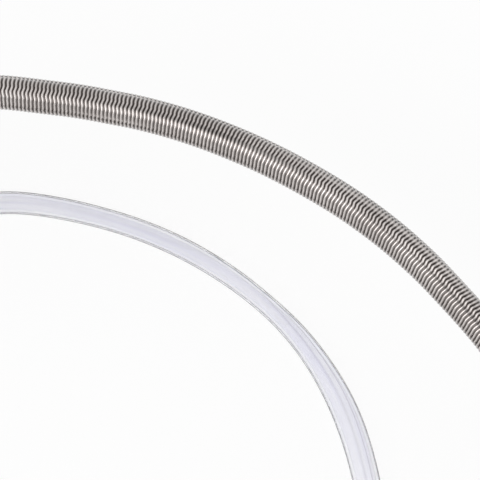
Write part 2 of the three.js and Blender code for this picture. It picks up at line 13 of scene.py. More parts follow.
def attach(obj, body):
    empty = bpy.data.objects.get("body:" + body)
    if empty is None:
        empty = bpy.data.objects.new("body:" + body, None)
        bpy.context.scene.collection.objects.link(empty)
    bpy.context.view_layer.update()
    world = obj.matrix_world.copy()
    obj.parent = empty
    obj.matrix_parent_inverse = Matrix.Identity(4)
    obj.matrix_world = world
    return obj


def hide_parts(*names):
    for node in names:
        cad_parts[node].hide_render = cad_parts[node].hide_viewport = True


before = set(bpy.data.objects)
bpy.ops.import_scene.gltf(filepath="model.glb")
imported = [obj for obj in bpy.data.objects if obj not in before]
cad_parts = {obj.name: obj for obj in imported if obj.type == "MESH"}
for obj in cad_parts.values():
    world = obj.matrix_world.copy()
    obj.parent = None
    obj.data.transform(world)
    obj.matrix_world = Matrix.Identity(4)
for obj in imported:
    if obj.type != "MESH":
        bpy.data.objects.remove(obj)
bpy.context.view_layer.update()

MM = 0.001
scene = bpy.context.scene

# ---- Sizes, the same as in the part
CLEARANCE = 0.3
TUBE = dict(diameter=9.75, rib_pitch=1.2, rib_depth=0.42, bend=35.0)
LEAN = dict(outward=-0.29, upward=0.38)  # how far a rib runs ahead there, as it winds
COIL = dict(radius=185.8, pitch=16.0, foot=12.0, start=135.0, end=2130.0)
RAMP = dict(inset=0.8, slope=15.0, ease=26.0, end=98.0)
LEAD = dict(angle=22.0, inset=15.0, levels=1 / 7, points=90)  # levels at a share of itself
RISER = dict(port_height=415.0, port_reach=50.0)
HOSE = dict(diameter=7.0, bore=5.0)
PILE = dict(x=20.0, y=-112.0, radius=38.0, turns=2.25, start=90.0, step=7.6, floor=4.9)

HOSE_ROUTE = [
    (240.8, -34.52, 415), (262, -34.52, 415), (284, -33.5, 412.5), (304, -27.5, 401),
    (313, -19, 383), (304, -9.5, 362), (280, -3.8, 353), (246, -0.8, 351.5),
    (211, 0.7, 353), (178, 0.9, 354), (147, 0, 350.8), (116, -2.2, 338),
    (90, -4.6, 317), (68, -7, 287), (50, -9, 252), (35, -10.4, 214),
    (21, -11.7, 173), (7, -13, 131), (-8, -14, 90), (-26, -14.5, 52),
    (-50, -12, 21), (-76, -1, 6.5), (-95, 20, 3.6), (-101, 50, 3.6),
    (-92.2, 86, 3.6), (-68.7, 121.7, 3.6), (-33, 145.2, 3.6), (1.8, 154.2, 3.6),
    (31.1, 149.9, 3.6), (58.6, 139.2, 3.6), (82.6, 122, 3.6), (100.6, 98.8, 3.6),
    (108.8, 78.2, 3.6), (113, 50, 3.6), (110.6, 18, 3.6), (101, -16, 3.6),
    (84, -50, 3.6), (67.4, -80, 4.2), (62.5, -97, 4.9), (62.3, -111.85, 4.9),
]
TAIL_ROUTE = [
    (19.7, -154.3, 12.5), (13, -154.3, 12.5), (-1.5, -150.5, 12.7), (-12.5, -140.2, 13.6),
    (-23.5, -129.8, 14.8), (-38, -126, 15.3), (-50, -126, 15.3), (-61.5, -126, 15.3),
]

# ---- Camera
# The photograph looks straight down from far away. A pixel of it is 0.289 mm on the
# ribbed tube where the frame shows it.
MM_PER_PIXEL = 0.289
FRAME_PIXELS = 480
SENSOR = 36.0
CAMERA_DISTANCE = 5700.0  # from the visible stretch of the tube
SEEN_HEIGHT = 138.5  # middle height of that stretch
SEEN_CENTRE = (72.91, 143.1)


def make_camera():
    data = bpy.data.cameras.new("camera")
    data.sensor_width = SENSOR
    data.lens = SENSOR * CAMERA_DISTANCE / (FRAME_PIXELS * MM_PER_PIXEL)
    data.clip_end = 100.0
    camera = bpy.data.objects.new("camera", data)
    scene.collection.objects.link(camera)
    height = CAMERA_DISTANCE + SEEN_HEIGHT
    camera.location = (SEEN_CENTRE[0] * MM, SEEN_CENTRE[1] * MM, height * MM)
    scene.camera = camera


make_camera()

# ---- Mesh helpers
def link(name, mesh, finish, replaces, body="chiller"):
    """A mesh as a piece in its finish, on the body that carries it."""
    piece = bpy.data.objects.new(name, mesh)
    scene.collection.objects.link(piece)
    mesh.materials.clear()
    mesh.materials.append(finish.material)
    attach(piece, body)
    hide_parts(*replaces)
    return piece


def mesh_from(name, vertices, faces):
    mesh = bpy.data.meshes.new(name)
    points = np.asarray(vertices, dtype=float) * MM
    mesh.from_pydata(points.tolist(), [], faces)
    mesh.polygons.foreach_set("use_smooth", [True] * len(mesh.polygons))
    mesh.update()
    return mesh


def face_outward(mesh, sharp=180.0):
    """Turn a closed mesh's faces outward. Edges that turn by more than an angle are sharp."""
    bm = bmesh.new()
    bm.from_mesh(mesh)
    bmesh.ops.recalc_face_normals(bm, faces=bm.faces)
    for edge in bm.edges:
        edge.smooth = not edge.is_manifold or edge.calc_face_angle(0.0) < math.radians(sharp)
    bm.to_mesh(mesh)
    bm.free()


def grid_faces(rings, sides, first=0):
    """Quads between rings of points, as one array."""
    k, i = np.meshgrid(np.arange(rings - 1), np.arange(sides), indexing="ij")
    j = (i + 1) % sides
    low, high = k * sides, (k + 1) * sides
    return np.stack([low + i, low + j, high + j, high + i], axis=-1).reshape(-1, 4) + first


def fast_mesh(name, vertices, quads, caps=()):
    """A large mesh from arrays: quads, and rings of indices that close its ends."""
    mesh = bpy.data.meshes.new(name)
    counts = np.array([4] * len(quads) + [len(cap) for cap in caps], dtype=np.int32)
    starts = np.concatenate([[0], np.cumsum(counts)[:-1]]).astype(np.int32)
    corner = np.concatenate([quads.ravel(), *caps]).astype(np.int32)
    mesh.vertices.add(len(vertices))
    mesh.vertices.foreach_set("co", (np.asarray(vertices) * MM).astype(np.float32).ravel())
    mesh.loops.add(len(corner))
    mesh.loops.foreach_set("vertex_index", corner)
    mesh.polygons.add(len(counts))
    mesh.polygons.foreach_set("loop_start", starts)
    mesh.polygons.foreach_set("loop_total", counts)
    mesh.polygons.foreach_set("use_smooth", np.ones(len(counts), dtype=bool))
    mesh.update(calc_edges=True)
    mesh.validate()
    return mesh


def paint(mesh, name, values):
    """One number for each vertex, which the material reads by name."""
    layer = mesh.attributes.new(name, "FLOAT", "POINT")
    layer.data.foreach_set("value", np.asarray(values, dtype=np.float32))


# ---- Centrelines
UP = np.array([0.0, 0.0, 1.0])
OUT = np.array([1.0, 0.0, 0.0])
CLIMB = COIL["pitch"] / (2 * math.pi * COIL["radius"])
RAMP_CLIMB = math.tan(math.radians(RAMP["slope"]))
SPACING = 1.0  # from one point to the next, along the tube
HOSE_SPACING = 2.0
SMOOTHING = 15  # points of a line that a change of its shape is spread over


def around(angle, radius, z):
    angle = np.radians(angle)
    return np.stack([radius * np.sin(angle), radius * np.cos(angle), z + 0 * angle], axis=-1)


def clock_of(points):
    return np.degrees(np.arctan2(points[:, 0], points[:, 1]))


def unit(vectors):
    return vectors / np.linalg.norm(vectors, axis=-1, keepdims=True)


def level(vectors):
    """Level directions, such as those from the axis of the coil to points."""
    return unit(vectors * [1.0, 1.0, 0.0])


def smoothed(values):
    """A running mean along a line, which holds the ends."""
    kernel = np.hanning(SMOOTHING) / np.hanning(SMOOTHING).sum()
    return np.convolve(np.pad(values, SMOOTHING // 2, mode="edge"), kernel, mode="valid")


def eased(t):
    return t * t * (3 - 2 * t)


def grown(values, start, end):
    """0 up to the start and 1 from the end on."""
    return eased(np.clip((values - start) / (end - start), 0, 1))


def peak(values, at, width):
    """1 at one value, and less on both sides of it."""
    return np.exp(-((values - at) / width) ** 2)


def coil_height(angle):
    return COIL["foot"] + COIL["pitch"] * (angle - COIL["start"]) / 360


# The turns aren't quite round, as on any coil wound by hand: clock angles, and how far
# outward the tube strays there.
SWAY = [(-16, 0.0), (-4, 0.8), (0, 0.78), (2, 0.62), (3.8, 0.14), (5.6, -0.06), (8, -0.12),
        (11, -0.32), (13, -0.14), (18, -0.04), (22, -0.08), (30, 0.0), (34, 0.2), (39, 0.24),
        (41.3, 0.13), (43, 0.08), (46.5, -0.27), (52, -0.2), (58, 0.0)]


def swayed(points):
    by = smoothed(np.interp(clock_of(points), *zip(*SWAY)))
    return points + by[:, None] * level(points)


def coil_line():
    angle = np.arange(COIL["start"], COIL["end"], math.degrees(SPACING / COIL["radius"]))
    return swayed(around(angle, COIL["radius"], coil_height(angle)))


def ramp_line():
    turned = np.arange(0, RAMP["end"], math.degrees(SPACING / COIL["radius"]))
    x = np.radians(turned)
    span = math.radians(RAMP["ease"])
    near = np.minimum(x, span)
    rise = CLIMB * near + (RAMP_CLIMB - CLIMB) * near**2 / (2 * span) + RAMP_CLIMB * (x - near)
    radius = COIL["radius"] - RAMP["inset"] * eased(near / span)
    height = coil_height(COIL["end"]) + (COIL["radius"] - RAMP["inset"]) * rise
    return swayed(around(COIL["end"] + turned, radius, height))


def arc(start, direction, target):
    """A bend of the tube from one direction to another, without its first point."""
    normal = unit(np.cross(direction, target))
    inward = np.cross(normal, direction)
    whole = math.acos(float(np.clip(direction @ target, -1, 1)))
    steps = max(8, int(whole * TUBE["bend"] / SPACING))
    angle = whole * np.arange(1, steps + 1)[:, None] / steps
    centre = start + inward * TUBE["bend"]
    return centre + TUBE["bend"] * (-inward * np.cos(angle) + direction * np.sin(angle))


def straight(start, end):
    steps = max(2, int(np.linalg.norm(end - start) / SPACING))
    return start + (end - start) * np.arange(1, steps + 1)[:, None] / steps


def up_and_out(points):
    foot = points[-1]
    head = np.array([foot[0], foot[1], RISER["port_height"] - TUBE["bend"]])
    points = np.vstack([points, straight(foot, head), arc(head, UP, OUT)])
    end = np.array([foot[0] + RISER["port_reach"], foot[1], RISER["port_height"]])
    return np.vstack([points, straight(points[-1], end)])


def inlet_line():
    """From the foot of the coil back and up to the inlet port. The lead goes on down for a
    share of its length, and then runs level."""
    share = np.linspace(0, 1, LEAD["points"])
    down = CLIMB * TUBE["diameter"] * np.minimum(share / LEAD["levels"], 1)
    foot = coil_height(COIL["start"]) - down
    points = around(COIL["start"] - LEAD["angle"] * share,
                    COIL["radius"] - LEAD["inset"] * eased(share), foot)
    direction = level(points[-1] - points[-2])
    return up_and_out(np.vstack([points, arc(points[-1], direction, UP)]))


def outlet_line(ramp):
    direction = unit(ramp[-1] - ramp[-2])
    end = ramp[-1] + direction * TUBE["diameter"]
    points = straight(ramp[-1], end)
    return up_and_out(np.vstack([points, arc(end, direction, UP)]))


def catmull_rom(route):
    """The centripetal Catmull-Rom curve through a route's points, as the part has it."""
    points = [np.array(p, dtype=float) for p in route]
    points = [2 * points[0] - points[1]] + points + [2 * points[-1] - points[-2]]
    line = []
    for p0, p1, p2, p3 in zip(points, points[1:], points[2:], points[3:]):
        pairs = (p0, p1), (p1, p2), (p2, p3)
        d0, d1, d2 = (math.sqrt(np.linalg.norm(b - a)) for a, b in pairs)
        m1 = ((p1 - p0) / d0 - (p2 - p0) / (d0 + d1) + (p2 - p1) / d1) * d1
        m2 = ((p2 - p1) / d1 - (p3 - p1) / (d1 + d2) + (p3 - p2) / d2) * d1
        steps = max(2, int(np.linalg.norm(p2 - p1) / HOSE_SPACING))
        t = (np.arange(steps) / steps)[:, None]
        line.append(p1 + m1 * t + (3 * (p2 - p1) - 2 * m1 - m2) * t**2
                    + (m1 + m2 - 2 * (p2 - p1)) * t**3)
    return np.vstack(line + [points[-2][None]])


class Line:
    """A centreline with its length, directions and frames that don't twist."""

    def __init__(self, points):
        gap = np.linalg.norm(np.diff(points, axis=0), axis=1)
        keep = np.concatenate([[True], gap > 1e-6])
        self.points = points[keep]
        gap = np.linalg.norm(np.diff(self.points, axis=0), axis=1)
        self.at = np.concatenate([[0], np.cumsum(gap)])
        self.length = self.at[-1]
        ahead = unit(np.gradient(self.points, self.at, axis=0))
        side = unit(np.cross(ahead[0], UP if abs(ahead[0] @ UP) < 0.9 else OUT))
        sides = [side]
        for direction in ahead[1:]:
            side = unit(side - direction * (side @ direction))
            sides.append(side)
        self.ahead, self.side = ahead, np.array(sides)

    def sample(self, at):
        def mix(values):
            return np.stack([np.interp(at, self.at, values[:, k]) for k in range(3)], axis=1)
        ahead = unit(mix(self.ahead))
        side = mix(self.side)
        side = unit(side - ahead * np.sum(side * ahead, axis=1, keepdims=True))
        return mix(self.points), ahead, side, np.cross(ahead, side)


# ---- Materials
class Nodes:
    """The nodes of a material or a world, with short calls to add and join them."""

    def __init__(self, name, owner=None):
        self.slot = name
        self.material = owner or bpy.data.materials.new(name)
        self.material.use_nodes = True
        self.tree = self.material.node_tree
        self.shader = self.tree.nodes["Background" if owner else "Principled BSDF"]

    def put(self, socket, value):
        if isinstance(value, bpy.types.NodeSocket):
            self.tree.links.new(value, socket)
        else:
            socket.default_value = value

    def add(self, kind, inputs=None, **settings):
        node = self.tree.nodes.new(kind)
        for key, value in settings.items():
            setattr(node, key, value)
        for key, value in (inputs or {}).items():
            self.put(node.inputs[key], value)
        return node

    def set(self, **values):
        for key, value in values.items():
            self.put(self.shader.inputs[key.replace("_", " ")], value)

    def attribute(self, name, output="Fac"):
        return self.add("ShaderNodeAttribute", attribute_name=name).outputs[output]

    def maths(self, operation, first, second, **settings):
        return self.add("ShaderNodeMath", {0: first, 1: second}, operation=operation,
                        **settings).outputs[0]

    def multiply(self, first, second):
        """Two colours multiplied."""
        return self.add("ShaderNodeMix", {0: 1.0, 6: first, 7: second}, data_type="RGBA",
                        blend_type="MULTIPLY").outputs[2]

    def ramp(self, factor, stops):
        node = self.add("ShaderNodeValToRGB", {"Fac": factor})
        elements = node.color_ramp.elements
        while len(elements) < len(stops):
            elements.new(0.5)
        for element, (position, colour) in zip(elements, stops):
            element.position = position
            element.color = (*colour, 1.0)
        return node.outputs["Color"]

    def on_object(self, stretch=(1.0, 1.0, 1.0)):
        coordinates = self.add("ShaderNodeTexCoord").outputs["Object"]
        return self.add("ShaderNodeMapping", {"Vector": coordinates,
                                              "Scale": stretch}).outputs["Vector"]

    def noise(self, scale, detail, vector=None):
        vector = vector or self.on_object()
        return self.add("ShaderNodeTexNoise", {"Scale": scale, "Detail": detail,
                                               "Vector": vector}).outputs["Fac"]

    def scaled(self, value, low, high, start=0.0, end=1.0):
        return self.add("ShaderNodeMapRange", {"Value": value, "From Min": start, "From Max": end,
                                               "To Min": low, "To Max": high}).outputs["Result"]

    def bump(self, height, strength, distance):
        return self.add("ShaderNodeBump", {"Height": height, "Strength": strength,
                                           "Distance": distance}).outputs["Normal"]

    def seen(self):
        """1 for the camera, reflections and what shows through the hose, and 0 for light."""
        path = self.add("ShaderNodeLightPath").outputs
        inner = self.maths("ADD", path["Is Glossy Ray"], path["Is Transmission Ray"],
                           use_clamp=True)
        return self.maths("ADD", path["Is Camera Ray"], inner, use_clamp=True)


def ribbed_steel():
    """Bright annealed stainless: pale on the crests, dark and duller down in the valleys, where the
    dark is painted shade and painted reflection as well as some dirt, with painted reflection bands
    along the ramp.
    """
    n = Nodes("ribbed_stainless")
    cloud = n.noise(60.0, 4.0)
    crest = n.ramp(cloud, [(0.35, (0.56, 0.523, 0.505)), (0.65, (0.645, 0.608, 0.59))])
    # The valleys' dark is painted shade and painted reflection, with some dirt.
    shade_and_dirt = n.ramp(n.attribute("valley_shade"), [(0.2, (1.0, 1.0, 1.0)), (0.9, (0.085, 0.073, 0.070))])
    tone = n.multiply(crest, shade_and_dirt)
    # The gain paints brighter and darker reflection bands onto the metal's tone.
    colour = n.add("ShaderNodeVectorMath", {0: tone, "Scale": n.attribute("painted_light_gain")},
                   operation="SCALE").outputs[0]
    scratches = n.noise(900.0, 2.0)
    n.set(Base_Color=colour, Metallic=1.0, Roughness=n.scaled(scratches, 0.17, 0.29),
          Normal=n.bump(cloud, 0.12, 0.0004))
    return n


def rolled_steel(name, tone, grain, roughness):
    """Rolled or turned metal with a fine grain."""
    n = Nodes(name)
    grain_noise = n.noise(1.0, 4.0, n.on_object(grain))
    cloud = n.noise(45.0, 3.0)
    low = tuple(c * 0.88 for c in tone)
    n.set(Base_Color=n.ramp(cloud, [(0.3, low), (0.7, tone)]), Metallic=1.0,
          Roughness=n.scaled(grain_noise, *roughness), Normal=n.bump(grain_noise, 0.15, 0.0002))
    return n


def clear_vinyl():
    """Soft clear hose, a little cloudy, with drawing streaks along its length and painted shade
    along its creases. It is clear up to near its edges, where its wall is seen end on as a grey
    rim."""
    n = Nodes("clear_hose")
    streaks = n.noise(1.0, 3.0, n.attribute("streak", "Vector"))
    tint = n.ramp(streaks, [(0.35, (0.915, 0.915, 0.985)), (0.65, (0.995, 0.995, 1.0))])
    # Painted shade along the creases.
    crease_shade = n.ramp(n.attribute("crease_shade"), [(0.0, (1.0, 1.0, 1.0)), (1.0, (0.55, 0.55, 0.57))])
    facing = n.add("ShaderNodeLayerWeight", {"Blend": 0.5}).outputs["Facing"]
    outer = n.maths("MULTIPLY", facing, n.attribute("outside"))
    rim = n.ramp(outer, [(0.38, (1.0, 1.0, 1.0)), (0.47, (0.97, 0.97, 0.98)),
                         (0.60, (0.93, 0.93, 0.94)), (0.67, (0.39, 0.39, 0.40))])
    haze = n.noise(35.0, 3.0)
    n.set(Base_Color=n.multiply(n.multiply(tint, crease_shade), rim), IOR=1.12,
          Roughness=n.scaled(haze, 0.06, 0.16),
          Transmission_Weight=n.scaled(outer, 0.8, 0.0, 0.60, 0.67))
    return n


def dull(name, tone, roughness, scale, depth=0.0003):
    """Moulded nylon, rubber or webbing: one tone, finely broken up."""
    n = Nodes(name)
    speck = n.noise(scale, 3.0)
    low = tuple(c * 0.75 for c in tone)
    n.set(Base_Color=n.ramp(speck, [(0.35, low), (0.65, tone)]),
          Roughness=n.scaled(speck, roughness - 0.08, roughness + 0.08),
          Normal=n.bump(speck, 0.25, depth))
    return n


STEEL = ribbed_steel()
STRIP = rolled_steel("strip_steel", (0.56, 0.5516, 0.5376), (900.0, 900.0, 25.0), (0.26, 0.42))
FASTENER = rolled_steel("fastener_steel", (0.5, 0.4925, 0.48), (700.0, 700.0, 700.0), (0.2, 0.34))
PLATED = rolled_steel("plated_brass", (0.42, 0.40, 0.37), (500.0, 900.0, 900.0), (0.22, 0.36))
BRASS = rolled_steel("tap_brass", (0.66, 0.47, 0.22), (500.0, 900.0, 900.0), (0.2, 0.34))
NYLON = dull("clamp_nylon", (0.022, 0.022, 0.024), 0.5, 500.0)
RUBBER = dull("seal_rubber", (0.016, 0.016, 0.016), 0.75, 700.0)
STRAP = dull("tie_strap", (0.02, 0.021, 0.026), 0.9, 1600.0, 0.0008)
VINYL = clear_vinyl()

# ---- The clear hose
def pile_at(turns):
    """Radius and height of the stored hose after a number of its turns: a lower layer that
    spirals in and an upper one out."""
    half = PILE["turns"] / 2
    radius = PILE["radius"] + PILE["step"] * (np.abs(turns - half) - half / 2)
    return radius, PILE["floor"] + PILE["step"] * grown(turns, half - 0.25, half + 0.25)


def pile_line():
    turns = np.arange(0, PILE["turns"], HOSE_SPACING / (2 * math.pi * PILE["radius"]))
    line = around(PILE["start"] + 360 * turns, *pile_at(turns))
    return line + np.array([PILE["x"], PILE["y"], 0.0])


# The hose lies flattened by its own coil set, least where it is bent most: clock angle
# in the coil, width, and how far outward of its route it lies there.
HOSE_LIES = [(-60, 7.0, 0.0), (-4, 6.9, -0.1), (2, 6.75, -0.12), (6, 6.5, -0.28),
             (9, 6.45, -0.05), (12, 6.3, 0.0), (20, 6.35, 0.03), (28, 6.2, 0.03),
             (33, 5.9, 0.03), (37.5, 6.55, 0.5), (42, 7.15, 0.42), (45.5, 7.8, 0.16),
             (49, 8.25, -0.03), (56, 8.2, 0.0), (70, 8.0, 0.0), (110, 7.0, 0.0)]
# It lies on the floor where its middle is lower than this, between these clock angles, and
# the gap is the least height of its underside there.
LYING = dict(below=3.7, start=-60, end=120, gap=0.25)


def on_floor(points):
    """Clock angles along the hose, and where it lies round the inside of the coil."""
    clock = clock_of(points)
    within = (clock > LYING["start"]) & (clock < LYING["end"])
    return clock, within & (points[:, 2] < LYING["below"])


def hose_section(points):
    """Width and height of the section along the hose, and how far it strays."""
    clock, lies = on_floor(points)
    angles, widths, outward = zip(*HOSE_LIES)
    width = smoothed(np.where(lies, np.interp(clock, angles, widths), HOSE["diameter"]))
    height = 2 * HOSE["diameter"] - width
    short = np.maximum(LYING["gap"] + height / 2 - points[:, 2], 0)
    lift = smoothed(np.where(lies, short, 0.0))
    aside = smoothed(np.where(lies, np.interp(clock, angles, outward), 0.0))
    return width, height, lift[:, None] * UP + aside[:, None] * level(points)


# A crease runs in from the outer edge where the hose flattens: clock angle, and how many
# degrees the columns of the mesh turn there to follow it.
CREASE_COLUMN = 13
CREASE_TURN = [(20, 0), (29.5, 62), (31.2, 46), (33.5, 24), (36.4, 12), (41, 7), (45.5, 6),
               (51.3, 2), (56, 0)]
CREASE_HALF = 3  # degrees from the crease to the columns beside it
CREASE_GROWS = (30, 33)  # clock angles
# Columns of the mesh, and how strongly painted shade darkens each along the creases before and
# after that.
CREASE_SHADES = [(10, 0.15, 0.45), (11, 0.15, 0.0), (CREASE_COLUMN, 0.0, 1.0)]


def hose_angles(points, sides):
    """The places of the mesh's columns round each ring of the hose."""
    clock, lies = on_floor(points)
    even = 360 * np.arange(sides) / sides
    even[CREASE_COLUMN - 1] = even[CREASE_COLUMN] - CREASE_HALF
    even[CREASE_COLUMN + 1] = even[CREASE_COLUMN] + CREASE_HALF
    turn = np.where(lies, np.interp(clock, *zip(*CREASE_TURN)), 0.0)
    return np.radians(even + turn[:, None])


def hose_crease_shades(points, sides):
    """How dark the painted shade is at each vertex, along the creases that the hose's own coil set
    makes.
    """
    clock, lies = on_floor(points)
    late = grown(clock, *CREASE_GROWS)
    marks = np.zeros((len(points), sides))
    for column, before, after in CREASE_SHADES:
        marks[:, column] = np.where(lies, before + (after - before) * late, 0.0)
    return marks.ravel()


# How far the dark rim reaches in at the edges of the hose, by its width: as far on the
# narrow stretches as where it is pressed flat.
RIM_REACH = [(5.9, 0.90), (6.4, 0.95), (7.0, 1.0), (8.2, 1.08)]
HOSE_SIDES = 40
HOSE_RINGS = 1.6  # from one ring of the mesh to the next
STREAKS = (2.2, 2.2, 0.02)  # how fine they are, round the hose and along it


def make_hose():
    line = Line(np.vstack([catmull_rom(HOSE_ROUTE)[:-1], pile_line(), catmull_rom(TAIL_ROUTE)]))
    at = np.linspace(0, line.length, int(line.length / HOSE_RINGS))
    points, ahead, _, _ = line.sample(at)
    rings, sides = len(points), HOSE_SIDES
    width, height, strays = hose_section(points)
    angle = hose_angles(points, sides)
    crease_shades = hose_crease_shades(points, sides)
    points = points + strays
    side = unit(np.cross(ahead, UP))
    top = np.cross(side, ahead)

    def ring_points(inset):
        across = ((width / 2 - inset)[:, None] * np.cos(angle))[:, :, None]
        upward = ((height / 2 - inset)[:, None] * np.sin(angle))[:, :, None]
        return (points[:, None] + across * side[:, None] + upward * top[:, None]).reshape(-1, 3)

    outer, inner = ring_points(0.0), ring_points((HOSE["diameter"] - HOSE["bore"]) / 2)
    count = rings * sides
    i = np.arange(sides)
    j = (i + 1) % sides
    last = count - sides
    mesh = fast_mesh("hose", np.vstack([outer, inner]), np.vstack([
        grid_faces(rings, sides), grid_faces(rings, sides, count)[:, ::-1],
        np.stack([i, i + count, j + count, j], axis=1),
        np.stack([j + last, j + last + count, i + last + count, i + last], axis=1)]))
    around_it = np.tile(angle.ravel(), 2)
    along = np.tile(np.repeat(at, sides), 2)
    streak = np.stack([np.cos(around_it), np.sin(around_it), along], axis=1) * STREAKS
    layer = mesh.attributes.new("streak", "FLOAT_VECTOR", "POINT")
    layer.data.foreach_set("vector", streak.astype(np.float32).ravel())
    rim = np.interp(width, *zip(*RIM_REACH))
    paint(mesh, "outside", np.concatenate([np.repeat(rim, sides), np.zeros(count)]))
    # Painted shade along the creases, on the outer surface only.
    paint(mesh, "crease_shade", np.concatenate([crease_shades, np.zeros(count)]))
    return link("hose", mesh, VINYL, ("hose_run", "hose_coil", "hose_tail")), points, line.length


# ---- The ribbed tube
def tube_line():
    """The whole tube from the inlet port to the outlet port, and where its parts begin."""
    inlet = inlet_line()[::-1]
    coil = coil_line()
    ramp = ramp_line()
    outlet = outlet_line(ramp)
    line = Line(np.vstack([inlet[:-1], coil, ramp, outlet]))
    starts = np.cumsum([0, len(inlet) - 1, len(coil), len(ramp)])
    return line, line.at[np.minimum(starts, len(line.at) - 1)]


RIB_POWER = 0.7  # below 1, crests are narrower than valleys


def rib_depth(phase):
    """Depth below the crest, 0 to 1, at a place from 0 to 1 along a rib."""
    return ((1 - np.cos(2 * np.pi * phase)) / 2) ** RIB_POWER


# The ribs of the ramp wander a little, one way where it leaves the coil and another
# further on: angle from the top to the outside, width, how far the rib runs ahead.
WANDER_EARLY = [(31, 9, 0.21), (9, 8, -0.16), (-12, 8, 0.20), (-34, 14, 0.08)]
WANDER_LATE = [(23, 12, -0.50), (44, 9, -0.20), (-25, 22, -0.34)]
WANDER_TURNS = (13, 31)  # clock angles, from the one way to the other


def wander(points, from_top):
    late = grown(clock_of(points), *WANDER_TURNS)[:, None]

    def waves(bumps):
        return sum(ahead * peak(from_top, at, width) for at, width, ahead in bumps)
    return (1 - late) * waves(WANDER_EARLY) + late * waves(WANDER_LATE)


# Soft bands of painted reflection along the ramp, brighter and darker, where the metal would mirror
# the light and dark around it: angle from the top to the outside, width, clock angle of the middle,
# half length, and the gain.
PAINTED_REFLECTION_BANDS = [(16, 13, 16, 7, -0.31), (19, 8, 24.5, 6, -0.36), (0, 11, 0, 5, -0.22),
         (33, 7, 47, 19, -0.42), (17, 6, 26.5, 3.5, -0.1), (14, 6, 47, 8, 0.42),
         (-4, 7, 24, 11, 0.30), (-21, 7, 38, 12, -0.12), (0, 7, 49, 6, -0.3),
         (62, 6, 15, 9, -0.14), (74, 10, 42, 9, -0.3), (-45, 22, 24, 40, 0.16)]
# In the same way, where the painted shade in the valleys is fainter, and how much fainter it is.
VALLEY_SHADE_FADES = [(53, 5, 37, 10.5, -0.55), (-43, 5, 11.5, 3.5, -0.4), (17, 6, 26.5, 3.5, -0.3)]


# Painted reflection, and where the painted valley shade fades, as a gain from a table of bands.
def painted_light_bands(points, from_top, table):
    clock = clock_of(points)[:, None]
    painted_light_gain = np.ones_like(from_top)
    for at, width, middle, half, amount in table:
        along = np.exp(-(np.abs(clock - middle) / half) ** 4)
        painted_light_gain = painted_light_gain * (1 + amount * along * peak(from_top, at, width))
    return painted_light_gain


# The valleys carry painted shade and painted reflection, with some dirt. It is narrower and lighter
# on the inside of the turns, except for its dark ends near the inner edge, and a little lighter
# along a line just inside the top, where reflected light is painted. Facing is 1 away from the axis
# and -1 towards it: for each of the two, where it is and how far it reaches. A higher power of the
# depth makes a valley narrower.
INNER_EDGE = (-0.81, 0.12)
TOP_LINE = (-0.07, 0.13)


def valleys(depth, facing_out, facing_up, valley_shade_share):
    """How dark the painted shade in the valleys is, 0 to 1, from its depth below the crests."""
    edge = peak(facing_out, *INNER_EDGE)
    line = peak(facing_out, *TOP_LINE) * (facing_up > 0)
    outward, inward = np.clip(facing_out, -1, 1), np.clip(-4 * facing_out - 1, 0, 1)
    power = 1.0 - 0.3 * outward - 0.25 * edge - 0.1 * inward
    darkness = 0.94 + 0.06 * np.clip(3 * facing_out, -1, 1) + 0.1 * edge - 0.08 * line
    return depth[:, None] ** power * darkness * valley_shade_share


SIDE_GROOVE = 0.45  # share of a groove's depth that is missing at the sides of the tube
FLATTENED = 0.014  # how much narrower the tube is than high
FADE = dict(port=20.0, joint=15.0)  # lengths over which ribs grow straight towards an end
# Rings of the mesh to a rib, and its sides: the ramp is what the photograph shows.
RAMP_MESH = (6, 48)
TUBE_MESH = (4, 20)


def tube_piece(name, node, line, first_rib, last_rib, pitch):
    """One length of the tube, from one of its ribs to another."""
    on_ramp = name == "ramp_tube"
    steps, sides = RAMP_MESH if on_ramp else TUBE_MESH
    rings = (last_rib - first_rib) * steps + 1
    place = first_rib * pitch + np.arange(rings) * pitch / steps
    points, ahead, side, third = line.sample(place)
    depth = rib_depth(np.arange(rings) / steps % 1.0)
    angle = (2 * math.pi * np.arange(sides) / sides)[None, :, None]
    arm = np.cos(angle) * side[:, None] + np.sin(angle) * third[:, None]
    facing_out = np.einsum("ksx,kx->ks", arm, level(points))
    facing_up = arm[:, :, 2]
    groove = TUBE["rib_depth"] * depth[:, None] * (1 - SIDE_GROOVE * facing_out ** 4)
    radius = TUBE["diameter"] / 2 * (1 - FLATTENED * facing_out ** 2) - groove
    from_end = np.minimum(place, line.length - place)
    lean = (LEAN["outward"] * facing_out + LEAN["upward"] * facing_up) \
        * np.clip(from_end / FADE["port"], 0, 1)[:, None]
    painted_light_gain = valley_shade_share = np.ones((rings, sides))
    if on_ramp:
        from_top = np.degrees(np.arctan2(facing_out, facing_up))
        from_joint = np.minimum(place - place[0], place[-1] - place)
        strays = wander(points, from_top)
        lean = lean + strays * np.clip(from_joint / FADE["joint"], 0, 1)[:, None]
        painted_light_gain, valley_shade_share = painted_light_bands(points, from_top, PAINTED_REFLECTION_BANDS), painted_light_bands(points, from_top, VALLEY_SHADE_FADES)
    vertices = (points[:, None] + radius[:, :, None] * arm
                + lean[:, :, None] * ahead[:, None]).reshape(-1, 3)
    caps = [np.arange(sides)[::-1], (rings - 1) * sides + np.arange(sides)]
    mesh = fast_mesh(name, vertices, grid_faces(rings, sides), caps)
    # Painted shade and painted reflection in the valleys, with some dirt.
    paint(mesh, "valley_shade", valleys(depth, facing_out, facing_up, valley_shade_share).ravel())
    # The painted reflection bands, as a gain on the metal's tone.
    paint(mesh, "painted_light_gain", painted_light_gain.ravel())
    link(name, mesh, STEEL, (node,))


MOST_TURNS = 1.3  # in the coil's last piece, up to the ramp
RAMP_CUT = 60.0  # how far up the ramp its piece starts


